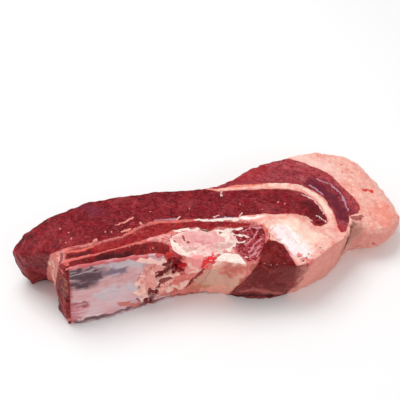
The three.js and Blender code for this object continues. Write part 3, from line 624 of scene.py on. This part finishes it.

# ---- The near wall's fat and trim ----
# Between the membrane and the gristle the wall is torn into cream flaps and red hollows, with
# painted shadow under the flaps, and blood has soaked the fat below the breastbone. Every piece
# that the torn part touches gets the same strokes, so its flaps run on from one to the next.
cream, creamy, coral, rose = (255, 202, 188), (250, 206, 192), (206, 98, 82), (232, 150, 140)
# The first of these is a painted shadow, laid under the flaps and in the creases between them.
painted_shadow, crimson, scarlet = (128, 30, 26), (118, 2, 12), (232, 18, 36)
wall_strokes = (  # name, colour, its share, width and height in mm, view and line
    ("beige", (208, 160, 136), 0.8, 12, 0.0, "xz", [(-24, 20), (-20.8, 26.3), (-14.1, 32.3)]),
    ("brown", (178, 86, 70), 0.75, 7, 0.0, "xz", [(18, 48), (14, 38), (9, 29), (5, 18)]),
    ("orange", (204, 122, 92), 0.75, 6, 0.3, "xz", [(-33, 8), (-28.6, 13.1), (-20.5, 12.9)]),
    ("peach", (226, 142, 118), 0.8, 5, 0.8, "xz", [(-59.5, 16.1), (-51.7, 15), (-44.3, 17.6)]),
    ("coral", coral, 0.8, 4, 0.0, "xz", [(-60.5, 8.6), (-51.7, 8.4), (-43.1, 10.4)]),
    ("coral", coral, 0.8, 3, 0.0, "xz", [(-60, 12.5), (-52, 11.6), (-45, 14)]),
    ("coral", coral, 0.8, 4, 0.5, "xz", [(-93.7, 11.8), (-88.5, 9.8), (-83.2, 7.1), (-78, 6)]),
    ("foot", (150, 84, 74), 0.7, 2.6, 0.0, "xz", [(-73.6, 4.3), (-51.7, 3.2), (-40.8, 2.7), (-10.2, 0.3)]),
    ("rose", rose, 0.8, 6, 1.6, "xz", [(-69, 45), (-67.1, 38), (-66.2, 32), (-66.8, 26)]),
    ("rose", rose, 0.8, 5, 1.0, "xz", [(-69.3, 45.1), (-58.6, 43.2)]),
    ("cream", cream, 0.9, 4, 2.0, "xz", [(-74, 53), (-61, 49.4), (-52.3, 46)]),
    ("cream", cream, 0.9, 2.6, 1.8, "xz", [(-65, 21), (-62.7, 23.4), (-60.2, 29.5), (-55.2, 33.7),
                                           (-47.2, 32.5), (-43.3, 33.2)]),
    ("cream", cream, 0.9, 4.6, 2.2, "xz", [(-42.5, 14.5), (-40, 18.5), (-37.2, 22.5)]),
    # Painted shadow under the lips of the flaps and along the creases between them.
    ("painted_shadow", painted_shadow, 0.9, 4.6, -2.2, "xz", [(-60.5, 24), (-58.6, 27.2), (-55.5, 30.1), (-49.4, 29.3)]),
    ("painted_shadow", painted_shadow, 0.9, 2.8, -2.4, "xz", [(-37, 13), (-34.6, 16.1), (-32.2, 20), (-30.4, 19.5)]),
    ("painted_shadow", painted_shadow, 0.8, 1.6, -1.2, "xz", [(-33, 21), (-30.3, 25.7), (-26.8, 32.6), (-23.3, 39.8)]),
    ("painted_shadow", painted_shadow, 0.8, 1.8, -1.0, "xz", [(-79, 12), (-76, 9), (-72, 7), (-66, 7)]),
    ("crimson", crimson, 0.95, 7.0, -2.4, "xz", [(-67, 5.5), (-68.3, 11), (-64.5, 16.5)]),
    ("crimson", crimson, 0.95, 5.6, -2.6, "xz", [(-58.5, 37.5), (-55, 39.5), (-47, 40)]),
    ("crimson", crimson, 0.95, 9, -0.8, "xyz", [(-50, -46.5, 47), (-44.4, -48.2, 43.4),
                                                (-42.4, -48.9, 38.9)]),
    ("vermilion", (204, 48, 42), 0.8, 4, 0.3, "xyz", [(-58, -43.5, 54.5), (-50.8, -45.5, 53.2)]),
    ("pink", (252, 160, 156), 0.85, 8, 0.4, "xyz", [(-35, -50, 49), (-26.4, -54.1, 49.7), (-29, -53.1, 43),
                                                   (-34, -50.5, 36)]),
    ("creamy", creamy, 0.85, 3.4, 0.8, "xyz", [(-34, -51, 45), (-30, -52.5, 41), (-27, -54, 38),
                                               (-33, -51, 34)]),
    ("rosy", (216, 92, 92), 0.8, 4, 0.0, "xyz", [(-30, -53, 48.5), (-25, -55, 45), (-23, -56, 41)]),
    ("creamy", creamy, 0.8, 4.6, 0.9, "xz", [(-53.4, 16.2), (-50, 12.4), (-46.5, 16.4)]),
    ("scarlet", scarlet, 0.95, 5.4, 0.0, "xyz", [(-24.5, -56.4, 44.4), (-21.3, -57, 49),
                                                 (-15, -55.2, 50.7)]),
    ("scarlet", (206, 24, 38), 0.75, 4.4, 0.0, "xyz", [(-43, -50, 38), (-39.6, -50, 42), (-38, -50, 45)]),
    ("lace", (226, 150, 152), 0.7, 1.0, 0.4, "xyz", [(-48.4, -46.9, 46.6), (-48.1, -47.1, 41.3),
                                                     (-46.7, -47.1, 36.9)]),
)


def torn(piece):
    """The torn wall's strokes on one piece, with a row of cream lumps where the membrane ends."""
    piece.stroke("lumps", [(-77.7, 30.5), (-79.2, 23.1), (-76.9, 18.9), (-71.8, 15.1), (-74.5, 11.1),
                           (-72.7, 22.1)], 6.0, cream, 0.9, press=2.2, view="xz", spots=True)
    for name, colour, share, width, height, view, line in wall_strokes:
        piece.stroke(name, line, width, colour, share, press=height, view=view, ragged=0.5)


chest = Piece("chest_fat", 0.9)
chest.paint("wall", chest.side, (232, 126, 114), 0.7)
# Bands of fat on the cut face, the white ones round the breastbone.
salmon, rosy, white = (226, 104, 92), (228, 108, 100), (255, 238, 228)
for name, colour, width, line in (
        ("salmon", salmon, 1.8, [(-126.9, -23), (-117, -21.5), (-108.7, -19.9), (-100.1, -17.4),
                                 (-91.8, -16.3)]),
        ("salmon", salmon, 2.0, [(-91.8, -16.3), (-83.7, -16.3), (-75, -14.4), (-66.5, -12)]),
        ("salmon", salmon, 2.0, [(-56.2, -5.9), (-35, -6.5), (-18.2, -8.2)]),
        ("rosy", rosy, 2.8, [(-131.1, -37.8), (-118.9, -36.1), (-105.7, -33.7), (-93.2, -31.4),
                             (-72.5, -26.1), (-60.2, -23.1), (-42.7, -20.2)]),
        ("rosy", rosy, 2.6, [(3.9, -19.3), (14.3, -19.6), (22.8, -20.7)]),
        ("rosy", rosy, 3.0, [(36.1, -25.9), (35.6, -32.8), (32.8, -41.3), (27, -52), (19, -62)]),
        ("white", white, 3.4, [(-17.1, -7.7), (-1.1, -9.7), (15.5, -12.8), (28.3, -14.4)]),
        ("pinkish", (242, 172, 166), 2.2, [(-62.7, -23.2), (-53.4, -22.7), (-44, -21.8)]),
        ("white", white, 2.4, [(-38.2, -19.2), (-25.3, -18.7), (-12.6, -19.4)]),
        ("white", white, 1.8, [(-84.3, -12), (-75.5, -9.8)]),
        ("white", white, 4.2, [(4, -24), (9, -29), (9.5, -36), (5, -43), (-2, -49)]),
        ("white", white, 3.0, [(-35, -18.5), (-28.3, -19), (-20, -21)]),
        ("white", white, 4.0, [(-9.3, -54), (-0.9, -56), (5.8, -63.6)])):
    chest.stroke(name, line, width, colour, 0.85, ragged=0.7)
chest.stroke("rosy", [(-131.4, -20.6, 60.3), (-128.9, -25.2, 60.7), (-126.6, -30.1, 60.4)], 3.5, rosy,
             0.85, view="xyz")
chest.stroke("grey", [(-15, -20.3), (-12.8, -23.1), (-9, -21.9)], 3.4, (116, 92, 82), 0.85, press=-1.2)
# The left end: a peachy wall with beads of fat and a dark edge.
chest.stroke("peachy", [(-141.5, -22.2, 52.3), (-141, -24.1, 42.4), (-140.8, -27.3, 34), (-140, -28, 20)],
             12, (228, 148, 130), 0.75, view="xyz", faint=True)
chest.stroke("bead", [(-142, -21, 46), (-140.5, -25, 40), (-141, -25, 33), (-139.5, -28, 48),
                      (-141, -27, 26), (-142, -22, 56), (-140, -27, 52)], 4.2, (250, 200, 182), 0.8,
             press=1.3, view="xyz", spots=True)
chest.stroke("endline", [(-133.6, -26.6, 59.9), (-134.8, -36.2, 59.6), (-136.5, -40.1, 52.7)], 2.0,
             (112, 30, 32), 0.75, view="xyz", press=-0.8)
torn(chest)
chest.done("pink_fat",
           fat("chest_fat", 29, chest, (230, 140, 134), (200, 76, 78), (162, 34, 40), patch=4.0,
               veins=0.6, reach=2.6),
           uneven=0.8 * waves(chest.rest, 5, 53) + 0.5 * waves(chest.rest, 2.4, 62),
           place=chest.rest, to_lean=chest.near(*LEAN))

fold = Piece("fat_fold", 0.8)
torn(fold)
fold.done("pink_fat",
          fat("fold_fat", 45, fold, (255, 208, 194), (244, 148, 138), (186, 64, 62), patch=4.0,
              veins=0.5),
          uneven=0.9 * waves(fold.rest, 5, 54) + 0.5 * waves(fold.rest, 2.4, 63),
          place=fold.rest, to_lean=fold.near(*LEAN))

trim = Piece("trim_meat", 0.7)
torn(trim)
trim.done("dark_muscle",
          lean("trim_meat_red", 12, trim, (140, 10, 18), (220, 74, 76), (240, 156, 150)),
          uneven=0.6 * waves(trim.rest, 3.0, 50), grain=trim.rest, to_fat=trim.near(*FAT))


# ---- The bones, the gristle and the tendon ----
# The sawn breastbone with its pink marrow in a broad white rim, the rib with its dark spongy end,
# the white gristle with its beige wall, and the very white tendon, all bedded in the fat.
def bone(name, seed, piece, marrow, pore, rim, pores=0.5, rim_width=2.0, pore_size=1.4):
    """Sawn bone or gristle: a porous middle in a dense rim of a width in mm. pores is how strongly
    the pores show."""
    material, tree, shader = blank(name, 0.4, 0.1)
    place = mark(tree, "place", "Vector")
    clouds = cloud(tree, place, 5.0, seed, detail=6.0)
    fine = cloud(tree, place, 1.3, seed + 1, detail=4.0)
    holes = add(tree, "TexVoronoi", {"Vector": place, "Scale": 1 / pore_size}).outputs["Distance"]
    colour = mix(tree, scale(tree, clouds, 0.42, 0.6), srgb(*marrow), srgb(*rim))
    colour = mix(tree, scale(tree, holes, 0.32, 0.15, 0.0, pores), colour, srgb(*pore))
    colour = mix(tree, scale(tree, fine, 0.52, 0.68, 0.0, pores), colour, srgb(*pore))
    rimmed = maths(tree, "ADD", mark(tree, "to_other"), scale(tree, clouds, 0.3, 0.7, -1.5, 1.5))
    colour = mix(tree, scale(tree, rimmed, rim_width, 0.4 * rim_width, 0.0, 0.85), colour, srgb(*rim))
    colour = painted(tree, colour, piece, fine)
    colour = mix(tree, scale(tree, fine, 0.53, 0.7, 0.0, 0.5 * pores), colour, srgb(*pore))
    tree.links.new(colour, shader.inputs["Base Color"])
    bump = add(tree, "Bump", {"Height": fine, "Strength": 0.6, "Distance": 0.001})
    tree.links.new(bump.outputs[0], shader.inputs["Normal"])
    return material


breastbone = Piece("sternum_bone", 0.7)
dense, dull, cavity = (255, 236, 222), (206, 144, 138), (150, 46, 44)
breastbone.stroke("marrow", [(-26, -31), (-16.1, -35.9), (-8, -34.4)], 13, (232, 160, 158), 0.75,
                  faint=True)
breastbone.stroke("rosy", [(-24, -33), (-18, -38), (-12, -37)], 3, (214, 122, 128), 0.6, ragged=1.0)
breastbone.stroke("dense", [(-43.3, -32.6), (-40.5, -38), (-37.7, -43.2), (-30, -45.5)], 5, dense, 0.85,
                  press=0.4)
breastbone.stroke("dense", [(-5, -23), (1, -27), (3, -33), (0, -40), (-8, -46)], 5, dense, 0.85,
                  ragged=0.9)
breastbone.stroke("dull", [(-12, -44), (-4, -45), (2, -43)], 5, dull, 0.7, faint=True)
breastbone.stroke("dull", [(-37, -40), (-34, -43), (-28, -42)], 3, dull, 0.7, faint=True)
breastbone.stroke("hole", [(-33.3, -26, 52.3), (-33.9, -31, 52.1)], 1.8, cavity, 0.9, view="xyz",
                  press=-1.4)
breastbone.stroke("hole", [(-31.2, -33.5), (-41.9, -30.1), (-43.7, -24.3), (-1.1, -27.3)], 2.4, cavity,
                  0.9, spots=True, press=-1.2)
breastbone.stroke("grey", [(-15, -20.3), (-12.8, -23.1), (-9, -21.9)], 3.6, (120, 96, 84), 0.85, press=-1.5)
torn(breastbone)
breastbone.done("bone",
                bone("breastbone", 33, breastbone, (234, 166, 162), (206, 112, 106), (253, 222, 214)),
                uneven=0.6 * waves(breastbone.rest, 3.4, 64) + 0.3 * waves(breastbone.rest, 1.7, 65),
                place=breastbone.rest, to_other=breastbone.others)

rib = Piece("rib_bone", 0.7)
rib.stroke("ochre", [(-136.6, -43.4, 37.6), (-134.3, -45.5, 48.4), (-135.6, -42.3, 50),
                     (-134.7, -47.3, 38.9), (-135.5, -45, 43)], 3.2, (196, 104, 70), 0.65, view="xyz",
           spots=True)
rib.done("bone",
         bone("rib", 35, rib, (92, 12, 16), (24, 0, 4), (150, 50, 44), pores=0.95, rim_width=0.8,
              pore_size=2.4),
         uneven=1.0 * waves(rib.rest, 2.6, 66), place=rib.rest, to_other=rib.others)

gristle = Piece("breast_cartilage", 0.7)
ruddy = (190, 72, 58)
gristle.paint("wall", gristle.side, (244, 150, 131), 0.9)
gristle.stroke("buff", [(-22, 20), (-15, 28), (-6, 27), (2, 22)], 16, (206, 162, 140), 0.75, view="xz",
               faint=True)
gristle.stroke("creamy", [(-20, 47), (-12, 48), (-4, 47), (5, 46), (12, 46)], 4.5, (252, 216, 202), 0.8,
               view="xz", ragged=0.9)
gristle.stroke("ruddy", [(-5.3, 44.6), (-0.7, 40.7), (3.7, 43.4)], 8, ruddy, 0.8, view="xz", faint=True)
gristle.stroke("ruddy", [(-7.7, 35.7), (-3.2, 33.1)], 6, ruddy, 0.8, view="xz", faint=True)
torn(gristle)
gristle.done("cartilage",
             bone("gristle", 37, gristle, (253, 226, 216), (234, 172, 158), (255, 240, 230), pores=0.55),
             uneven=0.7 * waves(gristle.rest, 4, 67) + 0.3 * waves(gristle.rest, 2, 72),
             place=gristle.rest, to_other=gristle.others)

tendon = Piece("tendon", 0.7)
tendon.paint("wall", tendon.side, (220, 134, 120), 0.85)
tendon.stroke("lilac", [(40, -37), (43.4, -43.2), (46.1, -50.1), (47.4, -57.7), (47.9, -66.8)], 3.4,
              (214, 136, 150), 0.8, ragged=0.8, faint=True)
tendon.stroke("flush", [(41.1, -22.3), (41.7, -33), (42.8, -38.1)], 6, (244, 178, 160), 0.75, faint=True)
tendon.stroke("snow", [(46.5, -33), (50, -43), (52.5, -52), (54.5, -60)], 6, (255, 246, 248), 0.7,
              faint=True)
tendon.stroke("raw", [(53.4, -67, 43.6), (55.2, -71.4, 43.4), (57.8, -74.2, 40.9)], 7, (226, 110, 106),
              0.85, view="xyz", ragged=0.8)
tendon.stroke("hole", [(52.4, -66, 43.8), (55.2, -71.4, 43.4), (57.8, -74.2, 40.9)], 2.0, (70, 14, 18), 0.9,
              view="xyz", spots=True, press=-1.2)
tendon.done("cartilage",
            bone("tendon", 39, tendon, (246, 202, 200), (230, 164, 168), (255, 242, 240), pores=0.4),
            uneven=0.5 * waves(tendon.rest, 4, 68), place=tendon.rest, to_other=tendon.others)


# ---- The membrane ----
# The thin wet lining of the chest, grown to the near wall: grey-lilac, with dark streaks along the
# rib where the flesh shows through, pink fat under it in bands and a frayed foot.
lining = Piece("pleura", 0.8)
light, murky, raw, soot = (200, 188, 194), (76, 40, 54), (150, 34, 46), (74, 30, 36)
for name, colour, share, width, height, line in (
        ("murk", (122, 90, 98), 0.8, 15, 0.0, [(-131, 52), (-118, 49), (-104, 47.5), (-93, 47)]),
        ("light", light, 0.8, 9, 0.2, [(-108.6, 25.7), (-93.6, 27.7), (-80.2, 27.7)]),
        ("light", light, 0.8, 7, 0.2, [(-93.8, 52), (-81.7, 50.6), (-72.7, 48.2)]),
        ("pinkish", (212, 156, 156), 0.8, 9, 0.7, [(-131.7, 31.2), (-115.9, 35.2), (-99.3, 38.8),
                                                   (-84.3, 40.4)]),
        ("lilac", (224, 184, 188), 0.6, 11, 0.0, [(-124, 13), (-112, 14), (-98, 14), (-88, 18)]),
        ("blue", (108, 90, 112), 0.8, 4.6, -0.3, [(-98.5, 46.3), (-92.7, 46.5), (-87.8, 46.4)]),
        ("murky", murky, 0.95, 5.0, -0.4, [(-129.1, 56.3), (-118.9, 54.5), (-110, 52)]),
        ("murky", murky, 0.95, 5.0, -0.4, [(-130.1, 51.4), (-119.3, 48.6), (-106.6, 46.2)]),
        ("murky", murky, 0.95, 5.4, -0.4, [(-130, 43.5), (-122, 41), (-111, 42.5)]),
        ("raw", raw, 0.85, 4.4, 0.0, [(-132.7, 21.7), (-128.7, 22.1), (-121, 21)]),
        ("raw", raw, 0.85, 3.4, 0.0, [(-132.3, 50.3), (-133, 38.6), (-133.6, 22.7), (-134.6, 4.5)]),
        ("rosy", (198, 104, 114), 0.7, 8.0, 0.0, [(-132, 18), (-129, 12.7), (-130, 6)]),
        ("soot", soot, 0.85, 3.4, -0.5, [(-130.8, 2.3), (-118.9, 3), (-108, 3), (-97.1, 2.5)]),
        ("soot", soot, 0.85, 2.4, -0.3, [(-97.1, 2.5), (-84.8, 4.1), (-67.5, 3.4), (-50, 4)])):
    lining.stroke(name, line, width, colour, share, press=height, view="xz", ragged=0.5, faint=True)
# A ragged line of painted highlights: wet glints along the foot.
lining.stroke("white", [(-127.9, 6.8), (-122.8, 7.6), (-118, 6.4), (-109, 6.5)], 1.5, (250, 232, 232), 0.6,
              view="xz", ragged=2.2)
lining.stroke("rim", [(-131.6, -45.4, 60.1), (-120.4, -44.3, 59.7), (-107.6, -43.4, 58.7),
                      (-95.6, -43.2, 58), (-84.2, -42.2, 56.8), (-67.3, -42.2, 55.3)], 4.4, (206, 84, 90),
              0.9, view="xyz")
torn(lining)

material, tree, shader = blank("chest_lining", 0.22, 0.1)
shader.inputs["Specular IOR Level"].default_value = 0.45
place = mark(tree, "place", "Vector")
streak = cloud(tree, place, 2.4, 41, stretch=(9, 1, 1), detail=4.0)
patch = cloud(tree, place, 9.0, 42, stretch=(2.5, 1, 1))
colour = mix(tree, scale(tree, patch, 0.3, 0.7), srgb(216, 184, 190), srgb(222, 152, 154))
colour = mix(tree, scale(tree, streak, 0.53, 0.75, 0.0, 0.55), colour, srgb(122, 78, 90))
colour = mix(tree, scale(tree, streak, 0.47, 0.28, 0.0, 0.5), colour, srgb(226, 206, 210))
colour = painted(tree, colour, lining, streak)
colour = mix(tree, scale(tree, streak, 0.48, 0.3, 0.0, 0.45), colour, srgb(222, 200, 206))
tree.links.new(colour, shader.inputs["Base Color"])
bump = add(tree, "Bump", {"Height": streak, "Strength": 0.6, "Distance": 0.001})
tree.links.new(bump.outputs[0], shader.inputs["Normal"])
lining.done("membrane", material,
            uneven=0.6 * waves(lining.rest * (0.35, 1, 1), 4.0, 69) + 0.2 * waves(lining.rest, 2.0, 70),
            place=lining.rest)
